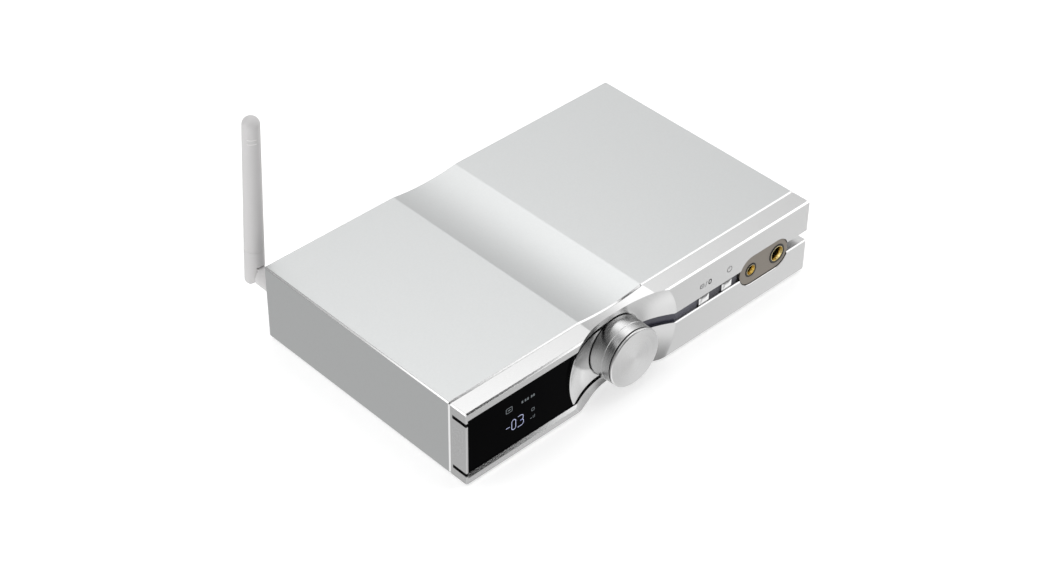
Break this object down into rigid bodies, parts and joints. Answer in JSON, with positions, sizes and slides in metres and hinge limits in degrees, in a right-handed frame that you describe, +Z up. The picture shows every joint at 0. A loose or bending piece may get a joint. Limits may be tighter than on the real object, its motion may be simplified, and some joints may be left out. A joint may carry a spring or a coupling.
{
  "type": "headphone amplifier",
  "caption": "Low wide silver desktop headphone amplifier: milled fascia, glass display, large dished volume knob, push buttons, headphone jacks and a folding rear antenna.",
  "frame": {"origin": "centre of the footprint, knob and antenna included, on the surface the feet stand on", "axes": "+Z up, +X to the right seen from the front, +Y from the fascia towards the rear panel"},
  "size_m": [0.214, 0.1592, 0.1097],
  "materials": {
    "casing": "bead-blasted, silver anodised",
    "fascia": "fine satin, silver anodised",
    "rear_panel": "bead-blasted, silver anodised",
    "display": "polished black lens",
    "smoked_strip": "smoked translucent",
    "knob": "lathe-turned, spun face",
    "button": "satin",
    "bronze": "bronze-grey anodised",
    "gold": "gold plated",
    "black_plastic": "moulded, matt",
    "antenna": "moulded, satin light grey",
    "steel": "plated",
    "tinned": "tin plated",
    "board": "solder mask",
    "chip": "moulded",
    "capacitor": "printed sleeve",
    "ribbon": "flat cable",
    "rubber": "matt"
  },
  "bodies": {
    "chassis": {"body_sleeve": "casing", "fascia": "fascia", "rear_panel": "rear_panel", "display_window": "display", "upper_slit_strip": "smoked_strip", "lower_slit_strip": "smoked_strip", "slot_strip_left": "smoked_strip", "slot_strip_middle": "smoked_strip", "slot_strip_right": "smoked_strip", "jack_plate": "bronze", "jack_4mm_ring": "gold", "jack_6mm_ring": "gold", "coax_socket": "gold", "rca_left": "gold", "rca_right": "gold", "antenna_socket": "gold", "jack_4mm_body": "black_plastic", "jack_6mm_body": "black_plastic", "input_switch": "black_plastic", "power_switch": "black_plastic", "dc_inlet": "black_plastic", "xlr_left": "black_plastic", "xlr_right": "black_plastic", "encoder_nut": "steel", "rear_screw_1": "steel", "rear_screw_2": "steel", "rear_screw_3": "steel", "rear_screw_4": "steel", "board_standoff_1": "steel", "board_standoff_2": "steel", "board_standoff_3": "steel", "board_standoff_4": "steel", "encoder_body": "tinned", "shield_can": "tinned", "usb_socket": "tinned", "front_board": "board", "main_board": "board", "screen_module": "chip", "processor_chip": "chip", "power_inductor": "chip", "capacitor_1": "capacitor", "capacitor_2": "capacitor", "capacitor_3": "capacitor", "capacitor_4": "capacitor", "ribbon_cable": "ribbon", "foot_1": "rubber", "foot_2": "rubber", "foot_3": "rubber", "foot_4": "rubber"},
    "knob_plunger": {"encoder_plunger": "steel"},
    "knob": {"knob_body": "knob", "knob_cap": "knob", "encoder_shaft": "steel"},
    "input_button": {"input_button": "button"},
    "power_button": {"power_button": "button"},
    "antenna_base": {"antenna_barrel": "antenna", "antenna_pin": "steel"},
    "antenna_arm": {"antenna_knuckle": "antenna", "antenna_whip": "antenna"}
  },
  "joints": [
    {"name": "knob_push", "type": "slide", "parent": "chassis", "child": "knob_plunger", "axis": [0, 1, 0], "range_m": [0, 0.0005], "stiffness_N_per_m": 2500},
    {"name": "knob_turn", "type": "hinge", "parent": "knob_plunger", "child": "knob", "pos_m": [-0.0135, -0.07305, 0.0213], "axis": [0, 1, 0], "continuous": true},
    {"name": "input_press", "type": "slide", "parent": "chassis", "child": "input_button", "axis": [0, 1, 0], "range_m": [0, 0.0004], "stiffness_N_per_m": 1500},
    {"name": "power_press", "type": "slide", "parent": "chassis", "child": "power_button", "axis": [0, 1, 0], "range_m": [0, 0.0004], "stiffness_N_per_m": 1500},
    {"name": "antenna_swivel", "type": "hinge", "parent": "chassis", "child": "antenna_base", "pos_m": [-0.1014, 0.06695, 0.0268], "axis": [0, 1, 0], "range_deg": [-93, 86]},
    {"name": "antenna_fold", "type": "hinge", "parent": "antenna_base", "child": "antenna_arm", "pos_m": [-0.1014, 0.07495, 0.0268], "axis": [-0.9983, 0, 0.0576], "range_deg": [0, 90]}
  ]
}
